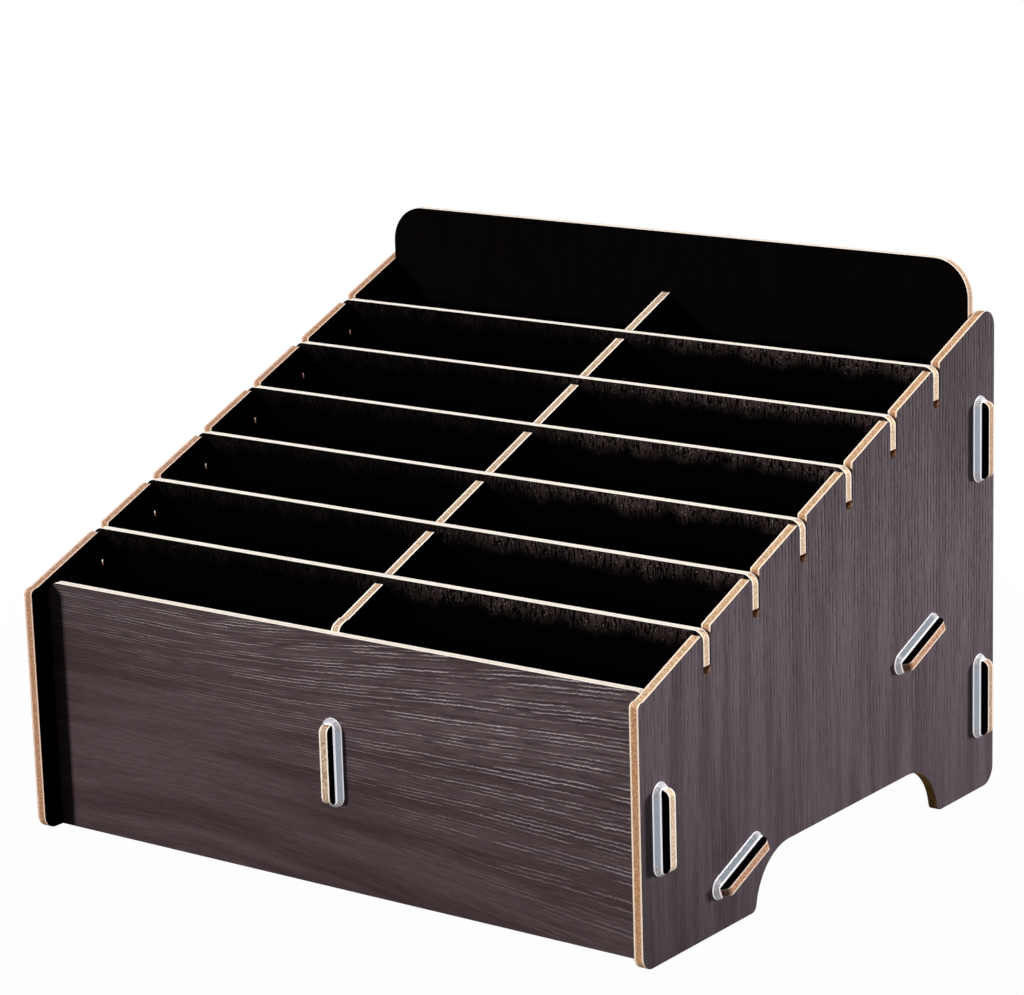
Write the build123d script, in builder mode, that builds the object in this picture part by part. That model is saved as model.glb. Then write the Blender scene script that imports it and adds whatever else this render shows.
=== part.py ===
from build123d import *
import os
from math import cos, radians, sin, tan

# A desk rack that keeps fourteen phones upright, in seven rows of two, on a floor that slopes up
# to the back. Every board is cut from thin sheet. The fixed boards have tabs that pass through
# their neighbours, and a rubber ring round the neck of each tab keeps it there. Six cross
# dividers stand loose in open notches and lift straight out.
# Millimetres. X runs to the right, Y to the back and Z up. The rack stands on z = 0, with the
# middle of its footprint at the origin.

# Sheet and pockets
board = 3.0  # thickness of every board
bay_width = 105.5  # clear width of a pocket, left or right of the centre divider
dividers = 6
first_gap = 20.6  # front panel to the first cross divider
row_gap = 21.3  # one cross divider to the next
last_gap = 22.0  # last cross divider to the back panel
pocket_depth = 74.0  # floor to the sloping top edge, measured upright
slope_angle = 21.9  # degrees, of the floor and of the top edges that run parallel to it
top_drop = 0.2  # cross dividers end this far below the side panels' sloping edge

# Front and back panels
panel_inset = 7.4  # from the side panels' upright edges to the panels' outer faces
front_height = 75.3
front_corner = 3.0
back_lift = 8.0  # the back panel's lower edge above the table
back_height = 154.3
back_corner = 11.5

# Sloped floor
floor_lift = 1.1  # lowest corner of the floor above the table
floor_end_gap = 0.4  # at the front and the back panel
floor_tab_pitch = 104.0  # between the two tabs of one side, along the slope

# Side panels
lip = 2.4  # short level stretch at the front end of the sloping edge
lip_corner = 1.7
lip_blend = 3.0  # radius where the lip runs into the slope
rear_corner = 5.2
front_toe = 4.2  # radii where the upright edges meet the table
rear_toe = 5.5
front_foot = 55.0  # lengths of the feet, with the arch between them
rear_foot = 33.3
arch_height = 16.2
arch_run = 17.4  # length of each rounded end of the arch
foot_corner = 2.2

# Tabs and their slots
tab_length = 23.2
tab_reach = 4.2  # a tab's end stands this far out of the board that it passes through
tab_corner = 2.2
slot_gap = 0.15  # round a tab in its slot
front_tab_height = 37.7  # heights of the tabs' middles
lower_back_tab_height = 29.4
upper_back_tab_height = 108.8

# Rubber rings
ring_thickness = 1.8  # along the tab
ring_wall = 1.9  # outwards from the tab
ring_seat = 0.35  # cut into each end of a tab for the ring
ring_round = 0.7

# Cross dividers, their notches and the halving joints
ear_height = 9.75  # the ears reach into the side panels' notches
ear_setback = 0.1  # behind the side panels' outer faces
ear_corner = 3.0
side_gap = 0.3  # between a cross divider and a side panel's inner face
notch_front_gap = 0.25
notch_back_gap = 0.45
notch_below = 2.55  # under the ear, where the notch ends in a half round
mouth_front_corner = 1.0
mouth_back_corner = 0.6
halving_gap = 0.3  # each side of a board in a halving slot
seat_gap = 0.1  # between a cross divider and the shoulder that carries it
floor_gap = 0.5  # under a cross divider

# Centre divider, whose top edge runs a little below the slope and has a raised nose in front
centre_drop = 1.6
nose_length = 4.0
nose_rise = 0.4
nose_corner = 2.5

on_line = 0.001  # a point this near a line is taken to lie on it

# Places that follow from the sizes
slope = radians(slope_angle)
inner_width = 2 * bay_width + board
width = inner_width + 2 * board
row_pitch = row_gap + board
inner_depth = first_gap + dividers * board + (dividers - 1) * row_gap + last_gap
front_panel_y = -inner_depth / 2  # inner face of the front panel
back_panel_y = inner_depth / 2  # inner face of the back panel
front_edge = front_panel_y - board - panel_inset
back_edge = back_panel_y + board + panel_inset
divider_places = [front_panel_y + first_gap + board / 2 + row * row_pitch for row in range(dividers)]
floor_length = (inner_depth - 2 * floor_end_gap - board * sin(slope)) / cos(slope)
floor_height = floor_lift + floor_length / 2 * sin(slope) + board / 2 * cos(slope)
neck_length = tab_length - 2 * ring_seat


def floor_top(y):
    """Height of the floor's upper face."""
    return floor_height + board / 2 / cos(slope) + y * tan(slope)


def slope_top(y):
    """Height of the side panels' sloping edge."""
    return floor_top(y) + pocket_depth


divider_height = pocket_depth - top_drop - floor_gap - board / 2 * tan(slope)
halving_depth = divider_height / 2

floor_plane = Plane((0, 0, floor_height), x_dir=(1, 0, 0), z_dir=(0, -sin(slope), cos(slope)))
centre_plane = Plane((-board / 2, 0, 0), x_dir=(0, 1, 0), z_dir=(1, 0, 0))
side_plane = Plane((inner_width / 2, 0, 0), x_dir=(0, 1, 0), z_dir=(1, 0, 0))


def upright_plane(y):
    """Plane across the rack, seen from the front: X to the right, Z up, extruding forwards."""
    return Plane((0, y, 0), x_dir=(1, 0, 0), z_dir=(0, -1, 0))


def tab():
    """One tab, flat. It leaves its board's edge at x = 0 and points to +X."""
    half, neck = tab_length / 2, neck_length / 2
    head, end = board + ring_thickness, board + tab_reach
    with BuildSketch(mode=Mode.PRIVATE) as profile:
        with BuildLine():
            upper = Polyline(
                (0, 0), (0, half), (board, half), (board, neck), (head, neck), (head, half),
                (end, half), (end, 0),
            )
            mirror(upper, about=Plane.XZ)
        make_face()
        fillet(profile.vertices().group_by(Axis.X)[-1], tab_corner)
    return profile.sketch


def tab_slot(turn=0):
    """Cuts a tab's slot, upright or turned by some degrees."""
    Rectangle(board + 2 * slot_gap, tab_length + 2 * slot_gap, rotation=turn, mode=Mode.SUBTRACT)


def on_slope(vertices):
    """The corners that lie on a side panel's sloping edge, from front to back."""
    return vertices.filter_by(lambda v: abs(v.Y - slope_top(v.X)) < on_line).sort_by(Axis.X)


def save(piece, name):
    piece.part.label = name
    export_step(piece.part, f"parts/{name}.step")


# Side panels: the right one is drawn, the left one is its mirror image

panel_tab_places = [
    (front_panel_y - board / 2, front_tab_height),
    (back_panel_y + board / 2, lower_back_tab_height),
    (back_panel_y + board / 2, upper_back_tab_height),
]
floor_tab_places = [
    (along * cos(slope), floor_height + along * sin(slope))
    for along in (-floor_tab_pitch / 2, floor_tab_pitch / 2)
]
notch_width = notch_front_gap + board + notch_back_gap

with BuildPart() as right_side_panel:
    with BuildSketch(side_plane) as outline:
        lip_height = slope_top(front_edge + lip)
        with BuildLine():
            Polyline(
                (front_edge, 0),
                (back_edge, 0),
                (back_edge, slope_top(back_edge)),
                (front_edge + lip, lip_height),
                (front_edge, lip_height),
                close=True,
            )
        make_face()
        fillet(outline.vertices().sort_by_distance((front_edge + lip, lip_height))[0], lip_blend)
        fillet(outline.vertices().sort_by_distance((front_edge, lip_height))[0], lip_corner)
        fillet(outline.vertices().sort_by_distance((front_edge, 0))[0], front_toe)
        fillet(outline.vertices().sort_by_distance((back_edge, 0))[0], rear_toe)
        fillet(outline.vertices().group_by(Axis.Y)[-1], rear_corner)

        # The arch between the feet
        arch_front, arch_back = front_edge + front_foot, back_edge - rear_foot
        with BuildSketch(mode=Mode.PRIVATE) as arch:
            with BuildLine():
                crown = Line(
                    (arch_front + arch_run, arch_height), (arch_back - arch_run, arch_height)
                )
                TangentArc(crown @ 0, (arch_front, 0), tangent=(-1, 0))
                TangentArc(crown @ 1, (arch_back, 0), tangent=(1, 0))
                Line((arch_front, 0), (arch_back, 0))
            make_face()
        add(arch.sketch, mode=Mode.SUBTRACT)
        fillet(outline.vertices().group_by(Axis.Y)[0].sort_by(Axis.X)[1:3], foot_corner)

        # Open notches for the cross dividers' ears
        for y in divider_places:
            notch_bottom = slope_top(y) - top_drop - ear_height - notch_below
            notch_length = 2 * (ear_height + notch_below)
            middle = y - (notch_front_gap - notch_back_gap) / 2
            with Locations((middle, notch_bottom + notch_length / 2)):
                SlotOverall(notch_length, notch_width, rotation=90, mode=Mode.SUBTRACT)
        fillet(on_slope(outline.vertices())[1:-1][0::2], mouth_front_corner)
        fillet(on_slope(outline.vertices())[1:-1][1::2], mouth_back_corner)

        # Slots for the tabs of the front panel, the back panel and the floor
        with Locations(*panel_tab_places):
            tab_slot()
        with Locations(*floor_tab_places):
            tab_slot(slope_angle - 90)
    extrude(amount=board)

with BuildPart() as left_side_panel:
    mirror(right_side_panel.part, about=Plane.YZ)

save(right_side_panel, "right_side_panel")
save(left_side_panel, "left_side_panel")

# Front panel, back panel and floor: boards between the side panels

with BuildPart() as front_panel:
    with BuildSketch(upright_plane(front_panel_y)) as outline:
        with Locations((0, front_height / 2)):
            Rectangle(inner_width, front_height)
        fillet(outline.vertices().group_by(Axis.Y)[-1], front_corner)
        with Locations((inner_width / 2, front_tab_height)):
            add(tab())
        mirror(about=Plane.YZ)
        with Locations((0, front_tab_height)):
            tab_slot()
    extrude(amount=board)

with BuildPart() as back_panel:
    with BuildSketch(upright_plane(back_panel_y + board)) as outline:
        with Locations((0, back_lift + back_height / 2)):
            Rectangle(inner_width, back_height)
        fillet(outline.vertices().group_by(Axis.Y)[-1], back_corner)
        with Locations(
            (inner_width / 2, lower_back_tab_height), (inner_width / 2, upper_back_tab_height)
        ):
            add(tab())
        mirror(about=Plane.YZ)
        with Locations((0, upper_back_tab_height)):
            tab_slot()
    extrude(amount=board)

with BuildPart() as sloped_floor:
    with BuildSketch(floor_plane):
        Rectangle(inner_width, floor_length)
        with Locations(
            (inner_width / 2, -floor_tab_pitch / 2), (inner_width / 2, floor_tab_pitch / 2)
        ):
            add(tab())
        mirror(about=Plane.YZ)
    extrude(amount=board / 2, both=True)

save(front_panel, "front_panel")
save(back_panel, "back_panel")
save(sloped_floor, "sloped_floor")

# Centre divider: stands on the floor from the front panel to the back panel, with a halving slot
# from above for each cross divider

with BuildPart() as centre_divider:
    nose_end = front_panel_y + nose_length
    nose_top = slope_top(front_panel_y) - centre_drop + nose_rise
    with BuildSketch(centre_plane) as outline:
        with BuildLine():
            Polyline(
                (front_panel_y, floor_top(front_panel_y)),
                (back_panel_y, floor_top(back_panel_y)),
                (back_panel_y, slope_top(back_panel_y) - centre_drop),
                (nose_end, slope_top(nose_end) - centre_drop),
                (nose_end, slope_top(nose_end) - centre_drop + nose_rise),
                (front_panel_y, nose_top),
                close=True,
            )
        make_face()
        fillet(outline.vertices().sort_by_distance((front_panel_y, nose_top))[0], nose_corner)
        for y in divider_places:
            shoulder = slope_top(y) - top_drop - halving_depth
            with Locations((y, shoulder)):
                Rectangle(
                    board + 2 * halving_gap,
                    divider_height,
                    align=(Align.CENTER, Align.MIN),
                    mode=Mode.SUBTRACT,
                )
        with Locations(Location((front_panel_y, front_tab_height), 180)):
            add(tab())
        with Locations((back_panel_y, upper_back_tab_height)):
            add(tab())
    extrude(amount=board)

save(centre_divider, "centre_divider")

# Cross dividers: all alike, each with an ear at both ends and a halving slot from below

for number, y in enumerate(divider_places, start=1):
    with BuildPart() as cross_divider:
        with BuildSketch(upright_plane(y)) as outline:
            with Locations((0, slope_top(y) - top_drop)):
                Rectangle(
                    width - 2 * ear_setback, ear_height, align=(Align.CENTER, Align.MAX)
                )
                Rectangle(
                    inner_width - 2 * side_gap, divider_height, align=(Align.CENTER, Align.MAX)
                )
            fillet(outline.vertices().group_by(Axis.Y)[-1], ear_corner)
            with Locations((0, slope_top(y) - top_drop - halving_depth + seat_gap)):
                Rectangle(
                    board + 2 * halving_gap,
                    divider_height,
                    align=(Align.CENTER, Align.MAX),
                    mode=Mode.SUBTRACT,
                )
        extrude(amount=board / 2, both=True)
    save(cross_divider, f"cross_divider_{number}")

# Rubber rings: one on the neck of every tab, against the board that the tab comes through

with BuildPart() as loop:
    with BuildSketch():
        SlotOverall(neck_length + 2 * ring_wall, board + 2 * ring_wall)
        Rectangle(neck_length, board, mode=Mode.SUBTRACT)
    extrude(amount=ring_thickness)
    rims = loop.faces().filter_by(Axis.Z)
    fillet(ShapeList(edge for rim in rims for edge in rim.outer_wire().edges()), ring_round)


def side_ring_plane(side, y, z, along):
    """Plane on a side panel's outer face, X along the tab; side is 1 on the right, -1 on the left."""
    return Plane((side * width / 2, y, z), x_dir=along, z_dir=(side, 0, 0))


upright, uphill = (0, 0, 1), (0, cos(slope), sin(slope))
ring_planes = {
    "centre_front_ring": Plane((0, front_panel_y - board, front_tab_height), upright, (0, -1, 0)),
    "centre_back_ring": Plane((0, back_panel_y + board, upper_back_tab_height), upright, (0, 1, 0)),
}
tab_names = ["front", "lower_back", "upper_back"]
floor_tab_names = ["lower_floor", "upper_floor"]
for side, side_name in ((1, "right"), (-1, "left")):
    for name, (y, z) in zip(tab_names, panel_tab_places):
        ring_planes[f"{side_name}_{name}_ring"] = side_ring_plane(side, y, z, upright)
    for name, (y, z) in zip(floor_tab_names, floor_tab_places):
        ring_planes[f"{side_name}_{name}_ring"] = side_ring_plane(side, y, z, uphill)

for name, plane in ring_planes.items():
    with BuildPart() as rubber_ring:
        with Locations(plane):
            add(loop.part)
    save(rubber_ring, name)
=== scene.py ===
# %% [markdown]
# A phone storage rack of laminated board
#
# The rack is cut from thin fibreboard with a dark wood-grain laminate on both faces. Six cross
# dividers stand loose in open notches. The other boards have tabs that pass through their
# neighbours, and a translucent rubber ring on each tab keeps it from slipping back.
#
# The construction comes from a CAD model, which is loaded first as a fixed frame: every board has
# its real size and place already. Here it gets its finish, its rings, the light and the camera.

# %% Load the frame
from math import cos, pi, radians, sin

import bmesh
import bpy
from mathutils import Matrix, Vector


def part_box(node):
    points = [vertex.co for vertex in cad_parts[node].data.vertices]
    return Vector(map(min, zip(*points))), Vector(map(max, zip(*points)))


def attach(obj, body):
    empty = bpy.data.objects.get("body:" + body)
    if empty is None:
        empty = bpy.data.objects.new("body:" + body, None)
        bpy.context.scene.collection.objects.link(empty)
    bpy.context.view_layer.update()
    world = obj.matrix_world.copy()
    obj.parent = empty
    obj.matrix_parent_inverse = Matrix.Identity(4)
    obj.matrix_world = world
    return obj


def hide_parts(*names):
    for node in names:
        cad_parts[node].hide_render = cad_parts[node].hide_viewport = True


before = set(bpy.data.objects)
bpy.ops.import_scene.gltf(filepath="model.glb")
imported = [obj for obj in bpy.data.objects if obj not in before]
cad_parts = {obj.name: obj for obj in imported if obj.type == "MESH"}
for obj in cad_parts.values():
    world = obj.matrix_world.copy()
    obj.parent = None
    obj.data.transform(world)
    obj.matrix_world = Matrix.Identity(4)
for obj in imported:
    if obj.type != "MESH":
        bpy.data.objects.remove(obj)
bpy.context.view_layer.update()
MM = 0.001
X, Y, Z = Vector((1, 0, 0)), Vector((0, 1, 0)), Vector((0, 0, 1))
print("boards and rings in the frame:", len(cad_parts))

# %% [markdown]
# The camera
#
# The photograph was taken with a long lens from the right of the front, a little above the rack.
# A camera is easiest to place by what a photographer would say: what it points at, how far round
# and how high it stands, how far away, and how long the lens is. `to_track_quat` turns it to the
# target, and a slight roll follows, because the photograph isn't quite level.

# %% Place the camera
AZIMUTH, ELEVATION, ROLL = radians(36.88), radians(14.05), radians(-1.68)
DISTANCE = 1.0779
TARGET = Vector((0.00055, 0.0, 0.09576))
LENS_MM, SENSOR_MM = 128.0, 36.0

towards_camera = Vector(
    (sin(AZIMUTH) * cos(ELEVATION), -cos(AZIMUTH) * cos(ELEVATION), sin(ELEVATION))
)
camera = bpy.data.objects.new("camera", bpy.data.cameras.new("camera"))
camera.data.lens = LENS_MM
camera.data.sensor_width = SENSOR_MM
camera.data.clip_start = 0.05
camera.location = TARGET + DISTANCE * towards_camera
aim = (-towards_camera).to_track_quat("-Z", "Y").to_matrix()
camera.rotation_euler = (aim @ Matrix.Rotation(ROLL, 3, "Z")).to_euler()
bpy.context.scene.collection.objects.link(camera)
bpy.context.scene.camera = camera
bpy.context.scene.view_settings.view_transform = "Standard"
print("camera at", [round(c, 3) for c in camera.location], "m")

# %% [markdown]
# Shader arithmetic
#
# A material is a small program made of nodes. Adding one Math node for each plus and times soon
# hides what is worked out, so this class wraps a socket and lets Python's own operators add the
# nodes. Any other node comes from its one method, `node`.


# %% Wrap a socket for arithmetic
class Wire:
    """A socket of a node tree. Each operator adds the Math node that does it."""

    def __init__(self, tree, socket=None):
        self.tree, self.socket = tree, socket

    def node(self, kind, settings=None, inputs=None, output=0):
        """Adds a node: its settings first, then the values or links of its sockets."""
        node = self.tree.nodes.new(kind)
        for name, value in (settings or {}).items():
            if name == "stops":
                ramp = node.color_ramp
                while len(ramp.elements) < len(value):
                    ramp.elements.new(0.5)
                for element, (place, colour) in zip(ramp.elements, value):
                    element.position, element.color = place, colour
            else:
                setattr(node, name, value)
        for name, value in (inputs or {}).items():
            if isinstance(value, Wire):
                self.tree.links.new(value.socket, node.inputs[name])
            else:
                node.inputs[name].default_value = value
        return Wire(self.tree, node.outputs[output] if node.outputs else None)

    def math(self, operation, first, second=0.0):
        settings = {"operation": operation}
        return self.node("ShaderNodeMath", settings, {0: first, 1: second})

    def __add__(self, other):
        return self.math("ADD", self, other)

    def __sub__(self, other):
        return self.math("SUBTRACT", self, other)

    def __rsub__(self, other):
        return self.math("SUBTRACT", other, self)

    def __mul__(self, other):
        return self.math("MULTIPLY", self, other)

    def __truediv__(self, other):
        return self.math("DIVIDE", self, other)

    def __gt__(self, other):
        return self.math("GREATER_THAN", self, other)

    def __abs__(self):
        return self.math("ABSOLUTE", self)

    __radd__, __rmul__ = __add__, __mul__

    def dot(self, direction):
        """The length of this vector along a direction."""
        settings = {"operation": "DOT_PRODUCT"}
        return self.node("ShaderNodeVectorMath", settings, {0: self, 1: direction}, "Value")

    def ramp(self, low, high):
        """0 below low, 1 above high, and smooth in between."""
        settings = {"interpolation_type": "SMOOTHSTEP"}
        sockets = {"Value": self, "From Min": low, "From Max": high}
        return self.node("ShaderNodeMapRange", settings, sockets)

    def mix(self, colour, other):
        """Between two colours, by this value."""
        sockets = {"Factor": self, "A": colour, "B": other}
        return self.node("ShaderNodeMix", {"data_type": "RGBA"}, sockets, "Result")


def srgb(red, green, blue):
    """A colour as a picture editor gives it, 0 to 255, as the linear values that nodes take."""
    steps = [c / 255 for c in (red, green, blue)]
    return (*[c / 12.92 if c <= 0.04045 else ((c + 0.055) / 1.055) ** 2.4 for c in steps], 1.0)


def new_surface(name):
    """An empty material and a Wire to build its nodes from."""
    material = bpy.data.materials.new(name)
    material.use_nodes = True
    material.node_tree.nodes.clear()
    return material, Wire(material.node_tree)


def finish_surface(nodes, shader):
    nodes.node("ShaderNodeOutputMaterial", inputs={"Surface": shader})


def noise(along, across, seed, detail=2.0):
    """Noise whose features are one unit long on both axes, cut at a depth that seed sets."""
    point = along.node("ShaderNodeCombineXYZ", inputs={"X": along, "Y": across, "Z": seed})
    sockets = {"Vector": point, "Scale": 1.0, "Detail": detail}
    return point.node("ShaderNodeTexNoise", inputs=sockets)


def scaled(vector, factor):
    """A colour or a place times a number."""
    settings, sockets = {"operation": "SCALE"}, {0: vector, "Scale": factor}
    return vector.node("ShaderNodeVectorMath", settings, sockets)


print("shader helpers ready")

# %% [markdown]
# Laminated board
#
# Each board shows three surfaces. The face that looks outwards is a dark wood-grain foil with fine
# lines pressed along the grain. A face that looks into the rack is painted nearly black, a painted
# shade for the little light that reaches it. The edges are bare fibreboard, tan and speckled, with a
# pale line along both borders where the foil's backing was cut.
#
# One shader can tell them apart by how far a point lies from the board's middle plane: the faces
# lie at half a thickness, and everything nearer is an edge. It works in the board's own
# directions, through the sheet, along the grain and across it, so the same function serves every
# board. Distances are turned into millimetres first, which keeps the numbers readable.

# %% Choose the board's colours and sizes
# In millimetres: the sheet, the skin of each face that counts as foil, and the foil's pale backing
BOARD_MM, FOIL_MM, BACKING_MM = 3.0, 0.04, 0.55

# The two prints on the outward faces.
# deep, warm: the foil's darkest and palest tone
# light, dark, ridge: how strongly its pale lines, which are print and painted highlight, its
# cracks, and the painted highlight on the ridges beside them show
# fan: the height in mm of the line that runs straight, and how far the others spread from it
# jagged: how far the lines jump sideways, in mm
# the two slopes over the face: up the first the lines gather, which is print, and the foil turns
# warmer, which is painted light; out of the second's low end the foil darkens, a painted shade
# shade along the grain: the distances along the grain, in mm, between which a painted shade darkens
# the foil, and by how much
FRONT_PRINT = {
    "deep": srgb(52, 37, 39), "warm": srgb(86, 73, 75), "light": 0.85, "dark": 0.45, "ridge": 0.0,
    "fan": (44, 0.7), "grain_and_light_slope": (1.0, 0.3, 20, 80), "jagged": 0.8,
    "corner": (-2.0, 1.0, -330, -150), "crown": (0, 1, 0.0),
}
SIDE_PRINT = {
    "deep": srgb(62, 49, 53), "warm": srgb(103, 92, 99), "light": 0.08, "dark": 0.85, "ridge": 0.16,
    "fan": (0, 0.0), "grain_and_light_slope": (0.25, 1.0, -10, 120), "jagged": 1.5,
    "corner": (0.6, 1.0, -75, 25), "crown": (62, 162, 0.5),
}
# The pale lines, print and painted highlight; the dark lines, print in the cracks and painted shade
# in the gaps
LINE_PALE_AND_HIGHLIGHT, LINE_DARK_AND_SHADE = srgb(186, 172, 174), srgb(36, 27, 30)
# Inside the rack: a near black that is painted shade, and the grain's brown where painted light falls
INNER_SHADE_BLACK, INNER_BROWN = srgb(3, 2, 2), srgb(62, 50, 49)


# The colours of the cut edges
def cut_edge(dark, light, border, top=0.0, upright=0.0):
    """top is how strongly a painted highlight whitens the edge where it lies level, upright how
    strongly a painted shade browns it where it stands.
    """
    return {
        "dark": srgb(*dark), "light": srgb(*light), "border": srgb(*border),
        "top": top, "upright": upright,
    }


# top and upright set how strongly each edge takes the painted highlight and the painted shade
TAN = cut_edge((170, 132, 98), (216, 184, 150), (248, 226, 204), upright=0.6)
BROWN = cut_edge((132, 98, 76), (188, 150, 124), (222, 190, 170), upright=0.3)
SANDY = cut_edge((154, 126, 102), (206, 180, 154), (250, 236, 222))
ROSY = cut_edge((160, 112, 86), (212, 166, 138), (240, 214, 196))
CREAM = cut_edge((190, 156, 124), (234, 208, 178), (252, 240, 224), top=0.85)
PEACH = cut_edge((208, 174, 144), (238, 214, 188), (254, 246, 234), top=0.7)
PALE = cut_edge((164, 132, 110), (200, 170, 148), (240, 222, 206), top=0.6)
# Painted shade on upright edges, in dark and brown specks
EDGE_SHADE_DARK, EDGE_SHADE_BROWN = srgb(148, 96, 60), srgb(192, 136, 92)
# The painted highlight on level edges, and the darker brown of the notches
EDGE_TOP_HIGHLIGHT, NOTCH_BROWN = srgb(253, 246, 236), srgb(112, 64, 38)
# Painted light on the arch's edges, which lie in shade
ARCH_PAINTED_LIGHT = srgb(255, 190, 110)
print("board thickness", BOARD_MM, "mm")

# %% [markdown]
# The notches
#
# Inside the notches the cut edges are a darker brown. The material finds them by how far a point
# lies below the sloping top edge, so that slope is measured first.
# The cross dividers' tops lie on it, so the boxes of the first and the last one give it, and
# nothing has to be typed in.

# %% Measure the slope that the notches are cut in
cross_dividers = sorted(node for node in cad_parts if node.startswith("cross_divider"))
first, last = [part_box(node)[1] / MM for node in (cross_dividers[0], cross_dividers[-1])]
SLOPE_RISE = (last.z - first.z) / (last.y - first.y)
SLOPE_MM = (first.z + last.z) / 2
NOTCHES_END_MM = last.y + 2
print("the slope rises", round(SLOPE_RISE, 3), "mm per mm")
print("it is", round(SLOPE_MM, 1), "mm high halfway")

# %% [markdown]
# The printed grain
#
# Real wood grain is many thin lines that run side by side, wander together, and are broken into
# short strokes. A wood picture could be wrapped round the boards, but it would blur close up and
# repeat. Here each line is worked out: noise bends the distance across the grain, a comb of thin
# lines is drawn on the bent distance, and more noise breaks the lines up. The print on the front
# panel has pale strokes, and the one on the side panels has dark cracks. The pale strokes are
# partly print and partly a painted highlight of the pressed lines, the dark gaps beside them a
# painted shade, and the pale ridges beside the cracks a painted highlight.

# %% Draw the printed grain
# In millimetres: how far apart the lines lie, how thick they are, and how far beside each pale
# stroke its gap of painted shade lies, and beside each crack its ridge of painted highlight
STROKES_APART, STROKE, GAP, GAP_BESIDE = 0.8, 0.24, 0.26, 0.3
CRACKS_APART, CRACK, RIDGE, RIDGE_BESIDE = 1.7, 0.5, 0.36, 0.45
BUNDLES_APART, BUNDLE = 4.8, 3.2


def comb(across, spacing, thick):
    """1 on thin lines that lie spacing apart, in millimetres, and 0 between them."""
    return 1 - across.math("PINGPONG", across, spacing / 2).ramp(thick * 0.25, thick * 0.75)


def over_face(along, side, slope):
    """0 to 1 over a face. slope has the weights of side and along, and the sums that give 0 and 1."""
    weight_side, weight_along, start, end = slope
    return (side * weight_side + along * weight_along).ramp(start, end)


def bend_grain(along, side, seed, wood):
    """The distance across the grain, fanned out, then wandering, then jagged as well."""
    heart, fan = wood["fan"]
    fanned = (side - heart) / (1 + along.ramp(-60, 160) * fan)
    fanned = fanned + noise(along / 150, fanned / 40, seed) * 4
    wandering = fanned + noise(along / 35, fanned / 8, seed + 0.6)
    jumps = noise(along / 2.0, wandering / 1.2, seed + 1.3) * 0.6
    jumps = jumps + noise(along / 0.6, wandering / 0.5, seed + 1.9) * 0.3
    return fanned, wandering, wandering + jumps * wood["jagged"]


def pale_lines(along, fanned, wandering, bent, seed, grain_and_light_slope, speckle):
    """Pale strokes in bundles, print and painted highlight, and the painted shade of the gaps beside
    them: (strokes, gaps).
    """
    sway = noise(along / 60, fanned / 9, seed + 3.1) * 4
    bundle = comb(wandering + sway, BUNDLES_APART, BUNDLE)
    pores = noise(along / 16, bent / 0.8, seed + 4.4).ramp(0.38, 0.6)
    shown = pores * bundle * (grain_and_light_slope * 0.94 + 0.06)
    strokes = comb(bent, STROKES_APART, STROKE) * shown * speckle
    return strokes, comb(bent + GAP_BESIDE, STROKES_APART, GAP) * shown


def dark_lines(along, bent, seed, grain_and_light_slope, speckle):
    """Cracks, and the painted highlight of the ridges beside them: (cracks, ridges)."""
    open_pores = (noise(along / 8, bent / 1.6, seed + 7.7) + grain_and_light_slope * 0.12).ramp(0.5, 0.66)
    open_pores = open_pores * (grain_and_light_slope * 0.8 + 0.2)
    cracks = comb(bent, CRACKS_APART, CRACK) * open_pores
    return cracks, comb(bent + RIDGE_BESIDE, CRACKS_APART, RIDGE) * open_pores * speckle


def foil_colour(along, side, seed, wood):
    """Printed wood grain: (colour, relief). along and side are millimetres."""
    fanned, wandering, bent = bend_grain(along, side, seed, wood)
    waves = noise(along / 90, bent / 7, seed + 3.7, 3.0)
    fibres = noise(along / 30, bent / 0.8, seed + 2.1, 4.0)
    threads = noise(along / 5, bent / 0.45, seed + 6.1, 1.0).ramp(0.3, 0.7)
    speckle = noise(along / 0.8, bent / 0.3, seed + 5.2).ramp(0.1, 0.65)
    grain_and_light_slope = over_face(along, side, wood["grain_and_light_slope"])
    strokes, gaps = pale_lines(along, fanned, wandering, bent, seed, grain_and_light_slope, speckle)
    cracks, ridges = dark_lines(along, bent, seed, grain_and_light_slope, speckle)

    # painted light: the foil turns warmer up the slope over the face, where its lines also gather
    tone = waves.ramp(0.35, 0.65) * 0.4 + fibres * 0.3 + grain_and_light_slope * 0.3
    # painted shade: the foil darkens out of one corner, and along the grain; fibres and threads are
    # print
    shade = (0.75 + fibres * 0.5) * (0.6 + over_face(along, side, wood["corner"]) * 0.4)
    start, end, amount = wood["crown"]
    shade = shade * (1 - along.ramp(start, end) * amount) * (0.88 + threads * 0.24)
    colour = scaled(tone.mix(wood["deep"], wood["warm"]), shade)
    # painted shade in the gaps; the cracks are print; painted highlight on the ridges; the strokes
    # are print and painted highlight
    colour = (gaps * wood["light"] * 0.8).mix(colour, LINE_DARK_AND_SHADE)
    colour = (cracks * wood["dark"]).mix(colour, LINE_DARK_AND_SHADE)
    colour = (ridges * wood["ridge"]).mix(colour, LINE_PALE_AND_HIGHLIGHT)
    colour = (strokes * wood["light"]).mix(colour, LINE_PALE_AND_HIGHLIGHT)
    return colour, fibres * 0.4 + strokes * 0.6 - cracks * 0.6


print("pale lines", STROKES_APART, "mm apart, in bundles", BUNDLES_APART, "mm apart")

# %% [markdown]
# The inner faces and the cut edges
#
# The faces in the pockets get so little light that they are painted nearly black, a painted shade,
# with a trace of upright grain just under the top edge, where a painted light falls, fainter in the
# left pockets. A cut edge is pressed wood fibre: pale and dark specks, and a paler line along both
# borders. A painted highlight makes it white where it lies level, a painted shade browner where it
# stands upright, and a painted light bright orange on the arch. The specks are noise at half a
# millimetre. Masks made from the place on the board say which colour goes where.

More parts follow.
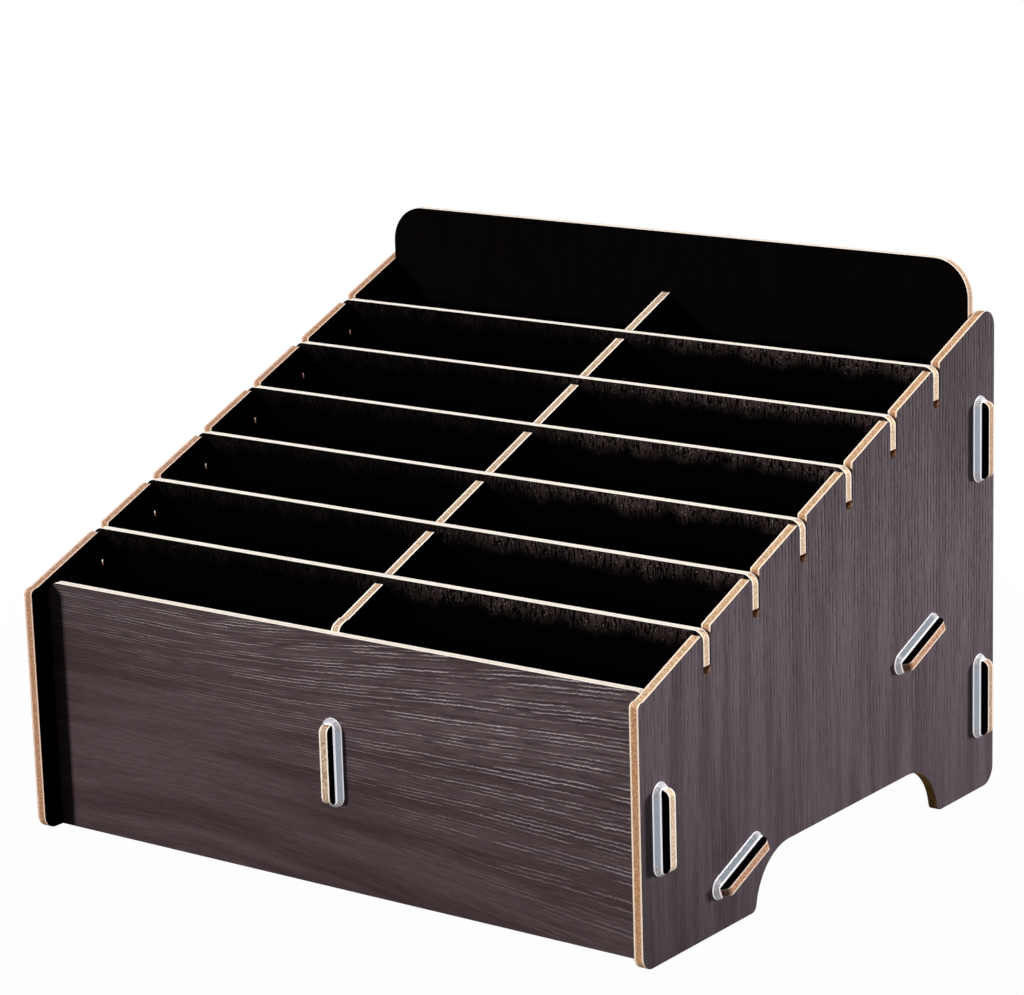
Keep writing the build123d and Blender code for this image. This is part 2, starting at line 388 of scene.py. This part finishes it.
# %% Colour the inner faces and the cut edges
# How far below the slope the darker edges of the notches start and end
NOTCH_FROM_MM, NOTCH_TO_MM = 1.5, 20.0
# The arch between the feet, whose edges get a painted light in bright orange though they lie in
# shade: the heights between which it fades out, and the arch's middle and reach from front to back
ARCH_LOW_MM, ARCH_HIGH_MM, ARCH_MIDDLE_MM, ARCH_REACH_MM = 14, 20, 11, 56


def inner_painted_shade(along, side, seed, top_mm):
    """Painted shade: the pockets' faces nearly black, with their upright grain in a painted light
    just below the top edge.
    """
    if top_mm is None:
        faint = noise(along / 14, side / 0.6, seed, 3.0) * 0.06
        return faint.mix(INNER_SHADE_BLACK, INNER_BROWN)
    reach = noise(along / 30, side / 9, seed + 1.7) * 8
    painted_light_near_top = (along + reach).ramp(top_mm - 2, top_mm + 6)
    # painted shade: the grain is fainter in the left pockets; side runs to the left here
    painted_light_near_top = painted_light_near_top * (1 - side.ramp(-45, 20) * 0.88)
    pores = noise(along / 2.5, side / 0.7, seed + 2.3).ramp(0.4, 0.55)
    # painted glints: pale specks in the painted light below the top edge
    painted_glints = noise(along / 0.5, side / 0.4, seed + 3.1, 0.0).ramp(0.72, 0.78)
    colour = (painted_light_near_top * pores).mix(INNER_SHADE_BLACK, INNER_BROWN)
    return (painted_light_near_top * painted_glints * 0.45).mix(colour, LINE_PALE_AND_HIGHLIGHT)


def edge_colour(along, side, depth, level, seed, core, notched):
    """Cut fibreboard, with the pale backing along both borders: (colour, relief)."""
    speckle = noise(along / 0.5, side / 0.5, seed + depth * 2)
    specks = speckle.ramp(0.4, 0.6)
    fibreboard = specks.mix(core["dark"], core["light"])
    # painted shade: an edge that stands upright is browner, being lit less than a level one; the
    # sloping edge is browner high up as well
    painted_edge_shade = 1 - level.ramp(0.2, 0.6) * (1 - along.ramp(95, 150) * 0.7)
    fibreboard = (painted_edge_shade * core["upright"]).mix(fibreboard, specks.mix(EDGE_SHADE_DARK, EDGE_SHADE_BROWN))
    backing_from = BOARD_MM / 2 - BACKING_MM
    backing = abs(depth).ramp(backing_from - 0.15, backing_from + 0.15)
    colour = backing.mix(fibreboard, core["border"])
    # painted highlight: an edge that lies level is whitened where the light from above would fall
    colour = (level.ramp(0.9, 0.98) * core["top"]).mix(colour, EDGE_TOP_HIGHLIGHT)
    if notched:
        below = SLOPE_MM + side * SLOPE_RISE - along
        inside = (below > NOTCH_FROM_MM) * (1 - (below > NOTCH_TO_MM))
        inside = inside * (1 - (abs(side) > NOTCHES_END_MM))
        colour = (inside * 0.8).mix(colour, NOTCH_BROWN)
        # painted light: the arch's edges turn bright orange though they lie in shade
        painted_arch_light = 1 - along.ramp(ARCH_LOW_MM, ARCH_HIGH_MM)
        painted_arch_light = painted_arch_light * (1 - (abs(side - ARCH_MIDDLE_MM) > ARCH_REACH_MM))
        colour = (painted_arch_light * speckle.ramp(0.3, 0.6)).mix(colour, ARCH_PAINTED_LIGHT)
    return colour, speckle


print("notches darker to", NOTCH_TO_MM, "mm below the slope")

# %% [markdown]
# One material for every board
#
# The three surfaces come together in one function. Mix Shader nodes choose between them by the
# distance from the middle plane, and a Bump node gives the fibres and lines a relief of a tenth
# of a millimetre. Each board then needs only its own directions, colours and seed, and the seed
# keeps two boards from showing the same print.

# %% Make the board material
EVERYWHERE_MM = 1000.0
FIBRE_RELIEF, PRINT_RELIEF = 0.1 * MM, 0.08 * MM


def board_material(
    name, through, middle_mm, grain, outside=0, seed=0.0, wood=SIDE_PRINT, core=TAN, top_mm=None,
    printed_mm=EVERYWHERE_MM, notched=False,
):
    """The finish of one board.

    through is the direction through the sheet and middle_mm where its middle plane lies. outside
    is 1 or -1 where the face on that side looks outwards, and 0 where both look into the rack.
    top_mm is the height of a top edge below which the inner grain shows in a painted light, and
    printed_mm how far along the grain the outer print reaches to either side: tabs beyond it are
    painted black, a painted shade. A notched board has darker edges in the notches of its slope.
    """
    through, grain = Vector(through).normalized(), Vector(grain).normalized()
    material, nodes = new_surface(name)
    metres = nodes.node("ShaderNodeTexCoord", output="Object")
    facing = nodes.node("ShaderNodeTexCoord", output="Normal")
    place = scaled(metres, 1 / MM)
    depth = place.dot(through) - middle_mm
    along, side = place.dot(grain), place.dot(grain.cross(through))

    edge, speckle = edge_colour(along, side, depth, facing.dot(Z), seed, core, notched)
    bump = nodes.node("ShaderNodeBump", inputs={"Distance": FIBRE_RELIEF, "Height": speckle})
    sockets = {"Base Color": edge, "Roughness": 0.9, "Specular IOR Level": 0.1, "Normal": bump}
    shader = nodes.node("ShaderNodeBsdfPrincipled", inputs=sockets)

    # painted shade: a face that doesn't look outwards gets the near black of the inner faces
    inner = inner_painted_shade(along, side, seed + 8.5, top_mm)
    sockets = {"Base Color": inner, "Roughness": 0.8, "Specular IOR Level": 0.0}
    inner_shader = nodes.node("ShaderNodeBsdfPrincipled", inputs=sockets)
    on_face = abs(depth) > BOARD_MM / 2 - FOIL_MM
    shader = nodes.node("ShaderNodeMixShader", inputs={0: on_face, 1: shader, 2: inner_shader})

    if outside:
        foil, relief = foil_colour(along, side, seed, wood)
        bump = nodes.node("ShaderNodeBump", inputs={"Distance": PRINT_RELIEF, "Height": relief})
        sockets = {"Base Color": foil, "Roughness": 0.6, "Specular IOR Level": 0.03, "Normal": bump}
        outer_shader = nodes.node("ShaderNodeBsdfPrincipled", inputs=sockets)
        looks_out = depth * outside > BOARD_MM / 2 - FOIL_MM
        # painted shade: beyond printed_mm the tabs' outward faces turn black like the inner faces
        looks_out = looks_out * (1 - (abs(along) > printed_mm))
        shader = nodes.node("ShaderNodeMixShader", inputs={0: looks_out, 1: shader, 2: outer_shader})
    finish_surface(nodes, shader)
    return material


def dress(node, material):
    """Gives a CAD board its material."""
    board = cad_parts[node]
    board.data.materials.clear()
    board.data.materials.append(material)


def middle_mm(node, axis):
    """Where a board's middle plane lies along X (0), Y (1) or Z (2)."""
    low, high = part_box(node)
    return (low[axis] + high[axis]) / 2 / MM


print("board material ready")

# %% [markdown]
# The side panels and the centre divider
#
# These boards stand along the rack, so the way through them is X. The grain of the side panels
# runs upright. Each has one face that looks outwards and one that looks into the rack, where the
# light hardly reaches, and which is painted nearly black as shade.

# %% Dress the boards that stand along the rack
for seed, (node, outside, core) in enumerate(
    (("right_side_panel", 1, TAN), ("left_side_panel", -1, BROWN), ("centre_divider", 0, SANDY))
):
    finish = board_material(
        node, X, middle_mm(node, 0), Z, outside, 11.0 * seed, core=core, notched=True
    )
    dress(node, finish)
    print(node, "middle plane at x =", round(middle_mm(node, 0), 2), "mm")

# %% [markdown]
# The front panel, the back panel and the cross dividers
#
# These stand across the rack, so the way through them is Y. The front panel was cut with its grain
# level, the others with it upright. The front panel's tabs come out beyond the side panels, and
# the print stops there, so that a painted shade makes them black with a pale edge. Faces that look
# into the rack are painted nearly black as shade, with a painted light just under the cross
# dividers' top edges.

# %% Dress the boards that stand across the rack
width_mm = 2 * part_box("right_side_panel")[1].x / MM
across_boards = [("front_panel", X, -1, FRONT_PRINT, PEACH), ("back_panel", Z, 1, SIDE_PRINT, PALE)]
across_boards += [(node, Z, 0, SIDE_PRINT, CREAM) for node in cross_dividers]
for seed, (node, grain, outside, wood, core) in enumerate(across_boards, start=5):
    top_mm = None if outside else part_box(node)[1].z / MM
    printed_mm = width_mm / 2 if node == "front_panel" else EVERYWHERE_MM
    finish = board_material(
        node, Y, middle_mm(node, 1), grain, outside, 7.0 * seed, wood, core, top_mm, printed_mm
    )
    dress(node, finish)
    print(node, "middle plane at y =", round(middle_mm(node, 1), 2), "mm")

# %% [markdown]
# The sloped floor
#
# The floor tilts up towards the back, parallel to the slope of the notches, so its way through is
# tilted too. Its middle plane is found from its box: the plane runs through the box's centre.

# %% Dress the sloped floor
SLOPE = radians(21.9)
floor_normal = Vector((0, -sin(SLOPE), cos(SLOPE)))
low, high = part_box("sloped_floor")
floor_middle = (low + high) / 2
floor_middle_mm = floor_middle.dot(floor_normal) / MM
# painted shade: both faces of the floor look into the rack, so they get the inner faces' near black
finish = board_material("sloped_floor", floor_normal, floor_middle_mm, X, seed=90.0, core=ROSY)
dress("sloped_floor", finish)
print("floor middle at", [round(c / MM, 1) for c in floor_middle], "mm")

# %% [markdown]
# The rubber rings
#
# A ring is a band of soft translucent rubber, stretched round the neck of a tab. Its section is flat
# on the board and has a wide slanting face outwards, between two narrow rims. It could be a
# Blender curve with a bevel, but the inner outline hugs a flat tab while the outer one is a long
# round, so the band is built as a mesh: stations round the loop, and at each one a section between
# an inner and an outer point. The rings keep the CAD rings' places, and stand for them in the
# picture.

# %% Model a ring
low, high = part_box("centre_front_ring")
RING_WIDTH, RING_THICKNESS, RING_LENGTH = high - low
RING_WALL = 1.9 * MM
NECK_LENGTH, NECK_WIDTH = RING_LENGTH - 2 * RING_WALL, RING_WIDTH - 2 * RING_WALL
STATIONS = 96
# How round the ends of the outer loop and the corners of the inner one are
OUTER_ROUND, INNER_ROUND = RING_WIDTH / 2 * 0.999, 0.35 * MM


def loop_points(half_length, half_width, round_end, count):
    """Points round a slot shape, with ends that are more square the smaller round_end is."""
    straight = half_length - round_end
    flat = half_width - round_end
    corners = [(straight, flat), (-straight, flat), (-straight, -flat), (straight, -flat)]
    points = []
    for quarter, (x, y) in enumerate(corners):
        for step in range(count // 4):
            angle = pi / 2 * (quarter + step / (count // 4 - 1))
            points.append(Vector((x + round_end * cos(angle), y + round_end * sin(angle))))
    return points


# Points of the band's section. The first number runs from the neck (0) to the outer side (1), the
# second from the board (0) to the front (1). Corners have two or three points, which rounds them.
SECTION = (
    (0.5, 0.0), (0.92, 0.0), (0.98, 0.02), (1.0, 0.08),
    (1.0, 0.18), (0.985, 0.24), (0.95, 0.3),
    (0.62, 0.66), (0.3, 0.95), (0.25, 0.985), (0.19, 1.0),
    (0.08, 1.0), (0.02, 0.98), (0.0, 0.92),
    (0.0, 0.5), (0.0, 0.08), (0.02, 0.02), (0.08, 0.0),
)


def ring_mesh():
    """A ring that lies flat on z = 0, its length along X."""
    outer = loop_points(RING_LENGTH / 2, RING_WIDTH / 2, OUTER_ROUND, STATIONS)
    inner = loop_points(NECK_LENGTH / 2, NECK_WIDTH / 2, INNER_ROUND, STATIONS)
    mesh = bmesh.new()
    rows = []
    for near, far in zip(inner, outer):
        row = []
        for out, up in SECTION:
            place = near.lerp(far, out)
            row.append(mesh.verts.new((place.x, place.y, up * RING_THICKNESS)))
        rows.append(row)
    turn = mesh.loops.layers.uv.new("turn")
    for i, row in enumerate(rows):
        following = rows[(i + 1) % len(rows)]
        for j in range(len(SECTION)):
            k = (j + 1) % len(SECTION)
            face = mesh.faces.new((row[j], following[j], following[k], row[k]))
            face.smooth = True
            for corner, (a, b) in zip(face.loops, ((i, j), (i + 1, j), (i + 1, j + 1), (i, j + 1))):
                corner[turn].uv = (a / len(rows), b / len(SECTION))
    bmesh.ops.remove_doubles(mesh, verts=mesh.verts, dist=1e-7)
    bmesh.ops.recalc_face_normals(mesh, faces=mesh.faces)
    data = bpy.data.meshes.new("rubber_ring")
    mesh.to_mesh(data)
    mesh.free()
    return data


ring_data = ring_mesh()
print("ring mesh:", len(ring_data.vertices), "points")

# %% [markdown]
# The rubber's finish
#
# The rubber is grey with a blue cast, and passes some light. Its rims are painted white, a painted
# highlight for light that enters the band and leaves along them, and its ends are greyer and
# streaked with white. The mesh carries a coordinate that runs once round the section, which says
# where a rim is, and the length along the ring says where the ends are.
#
# Clear rubber gathers light from all round and gives it back, which is slow to work out on so
# small a piece. A faint emission stands for it, a painted glow, stronger where the rubber is
# white. The floor's rings lie at a slant, where they catch the lamps more, so they get a darker
# copy of the rubber, a painted shade.

# %% Make the rubber material
RUBBER_GREY, RUBBER_CLEAR = srgb(184, 200, 220), srgb(160, 180, 204)
RUBBER_CLOUDY, RIM_HIGHLIGHT_AND_END_WHITE = srgb(150, 146, 152), srgb(244, 240, 244)
# The front rim, which takes a painted highlight, is the narrow flat next to the slanting face: the
# number of the section's point at its middle, and how many points from there it starts to fade and
# ends
RIM_POINT, RIM_REACH, RIM_END = 10.4, 2.4, 2.8
# The heights in mm over which the painted highlight at the foot fades, and the distances along the
# ring between which the ends turn greyer
FOOT_RIM_MM, ENDS_MM = (0.4, 0.55), (9.3, 10.5)


def rubber_material(name, shade):
    """shade scales the band's colour between the rims; below 1 it is a painted shade."""
    material, nodes = new_surface(name)
    turn = nodes.node("ShaderNodeUVMap", {"uv_map": "turn"})
    section = turn.node("ShaderNodeSeparateXYZ", inputs={0: turn}, output="Y")
    metres = nodes.node("ShaderNodeTexCoord", output="Object")
    place = scaled(metres, 1 / MM)
    length, width, height = place.dot(X), place.dot(Y), place.dot(Z)
    points = len(SECTION)
    # painted highlight: the front rim and the foot are whitened
    front_rim = 1 - abs(section - RIM_POINT / points).ramp(RIM_REACH / points, RIM_END / points)
    foot_rim = 1 - height.ramp(*FOOT_RIM_MM)
    rim_highlight = front_rim.math("MAXIMUM", front_rim, foot_rim)
    ends = abs(length).ramp(*ENDS_MM)
    streaks = noise(length / 0.25, height / 0.6, 5.0).ramp(0.45, 0.65)
    cloud = noise(length / 0.5, width / 0.5, 3.0, 3.0)
    base = cloud.ramp(0.3, 0.7).mix(RUBBER_CLEAR, RUBBER_GREY)
    fine = noise(width / 0.12, height / 0.12, 7.0).ramp(0.35, 0.65)
    base = scaled(base, shade * (0.85 + fine * 0.3))
    base = (ends * 0.9).mix(base, RUBBER_CLOUDY)
    # the rims' painted highlight and the ends' white streaks, which also glow more
    white = rim_highlight.math("MAXIMUM", rim_highlight, ends * streaks * 0.6)
    colour = (white * 0.85).mix(base, RIM_HIGHLIGHT_AND_END_WHITE)
    sockets = {
        "Base Color": colour,
        # painted glow, stronger on the rims' painted highlight
        "Emission Color": scaled(colour, 0.22 + white * 0.15 + rim_highlight * 0.4),
        "Emission Strength": 1.0,
        "Roughness": 0.25,
        "IOR": 1.8,
        "Specular IOR Level": 1.0,
        "Subsurface Weight": 1.0,
        "Subsurface Radius": (1, 1, 1),
        "Subsurface Scale": 3 * MM,
    }
    finish_surface(nodes, nodes.node("ShaderNodeBsdfPrincipled", inputs=sockets))
    return material


# A painted shade: the floor's rings get a darker copy of the rubber
FLOOR_RUBBER_PAINTED_SHADE = 0.3
ring_data.materials.append(rubber_material("rubber", 1.0))
floor_ring_data = ring_data.copy()
floor_ring_data.materials[0] = rubber_material("floor_rubber_painted_shade", FLOOR_RUBBER_PAINTED_SHADE)
print("rubber materials ready")

# %% [markdown]
# A ring on every tab
#
# The frame's boxes say where each ring sits and which way its tab points: the box is thinnest
# that way. The floor's tabs lie along the slope, so their rings are turned by it.

# %% Place the rings
RACK = "rack"


def ring_directions(node):
    """(outwards, along) for a CAD ring: the way its tab points, and the way its length runs."""
    low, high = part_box(node)
    size = high - low
    axis = min(range(3), key=lambda i: size[i])
    outwards = Vector([0, 0, 0])
    outwards[axis] = 1 if (low + high)[axis] > 0 else -1
    along = Vector((0, cos(SLOPE), sin(SLOPE))) if "floor" in node else Z
    return outwards, along


for node in sorted(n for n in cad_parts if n.endswith("_ring")):
    outwards, along = ring_directions(node)
    low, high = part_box(node)
    data = floor_ring_data if "floor" in node else ring_data
    ring = bpy.data.objects.new("rubber_" + node, data)
    bpy.context.scene.collection.objects.link(ring)
    turned = Matrix((along, outwards.cross(along), outwards)).transposed().to_4x4()
    ring.matrix_world = Matrix.Translation((low + high) / 2 - outwards * RING_THICKNESS / 2) @ turned
    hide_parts(node)
    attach(ring, RACK)
print("rings placed")

# %% [markdown]
# Floor and backdrop
#
# The photograph is cut out on white, yet the rack's undersides and pockets are dark in it: no light
# comes back from below. So the floor glows white for the camera and in reflections, and gives the
# rack hardly any light. Near the rack a little of its real, dark paper shows through, which keeps
# a faint shadow. The world behind it is made in the same way.

# %% Lay the floor
def seen_white(nodes):
    """1 for the rays that show the studio: to the camera, in a reflection and through clear stuff."""
    rays = ("Is Camera Ray", "Is Glossy Ray", "Is Transmission Ray")
    camera, glossy, through = [nodes.node("ShaderNodeLightPath", output=ray) for ray in rays]
    return camera.math("MAXIMUM", camera, glossy.math("MAXIMUM", glossy, through))


FLOOR_REACH = 6.0
PAPER, WHITE = (0.08, 0.08, 0.08, 1), (1, 1, 1, 1)
SKY_STRENGTH = 0.03
# How much of the paper the camera sees at the rack, and the distances between which that fades
PAPER_SHARE, SHADOW_FROM, SHADOW_TO = 0.02, 0.12, 0.4

floor_mesh = bpy.data.meshes.new("studio_floor")
corners = [(-1, -1), (1, -1), (1, 1), (-1, 1)]
corners = [(x * FLOOR_REACH, y * FLOOR_REACH, 0) for x, y in corners]
floor_mesh.from_pydata(corners, [], [(0, 1, 2, 3)])
studio_floor = bpy.data.objects.new("studio_floor", floor_mesh)
bpy.context.scene.collection.objects.link(studio_floor)
floor_material, nodes = new_surface("studio_floor")
paper = nodes.node("ShaderNodeBsdfDiffuse", inputs={"Color": PAPER})
glow = nodes.node("ShaderNodeEmission", inputs={"Color": WHITE, "Strength": 1.0})
place = nodes.node("ShaderNodeTexCoord", output="Object")
away = nodes.node("ShaderNodeVectorMath", {"operation": "LENGTH"}, {0: place}, "Value")
share = seen_white(nodes) * (1 - PAPER_SHARE + away.ramp(SHADOW_FROM, SHADOW_TO) * PAPER_SHARE)
finish_surface(nodes, nodes.node("ShaderNodeMixShader", inputs={0: share, 1: paper, 2: glow}))
floor_mesh.materials.append(floor_material)

world = bpy.data.worlds.new("studio")
bpy.context.scene.world = world
world.use_nodes = True
world.node_tree.nodes.clear()
nodes = Wire(world.node_tree)
sky = nodes.node("ShaderNodeBackground", inputs={"Color": WHITE, "Strength": SKY_STRENGTH})
white = nodes.node("ShaderNodeBackground", inputs={"Color": WHITE, "Strength": 1.0})
backdrop = nodes.node("ShaderNodeMixShader", inputs={0: seen_white(nodes), 1: sky, 2: white})
nodes.node("ShaderNodeOutputWorld", inputs={"Surface": backdrop})
print("floor and world ready")

# %% [markdown]
# The lamps
#
# Square area lamps stand for a photographer's softboxes. The one at the left lights the front, the
# one behind at the right lights the side panel, and the one overhead the edges that lie level. A
# weak one close to the side panel lifts the rings there. They are set so that a colour comes out
# about as it is written.

# %% Hang the lamps
def softbox(name, place, size, watts, target=(0, 0, 0.07)):
    """A square area lamp at a place in metres, turned to the rack."""
    lamp = bpy.data.lights.new(name, "AREA")
    lamp.size, lamp.energy = size, watts
    holder = bpy.data.objects.new(name, lamp)
    holder.location = place
    holder.rotation_euler = (Vector(target) - Vector(place)).to_track_quat("-Z", "Y").to_euler()
    bpy.context.scene.collection.objects.link(holder)
    print(name, watts, "W")


softbox("left_front_softbox", (-1.2, -1.65, 0.45), 0.3, 47)
softbox("right_back_softbox", (1.35, 1.55, 0.35), 0.3, 53)
softbox("right_softbox", (0.55, -0.05, 0.15), 0.25, 0.12)
softbox("overhead_softbox", (0.2, 0.1, 1.6), 0.7, 19)
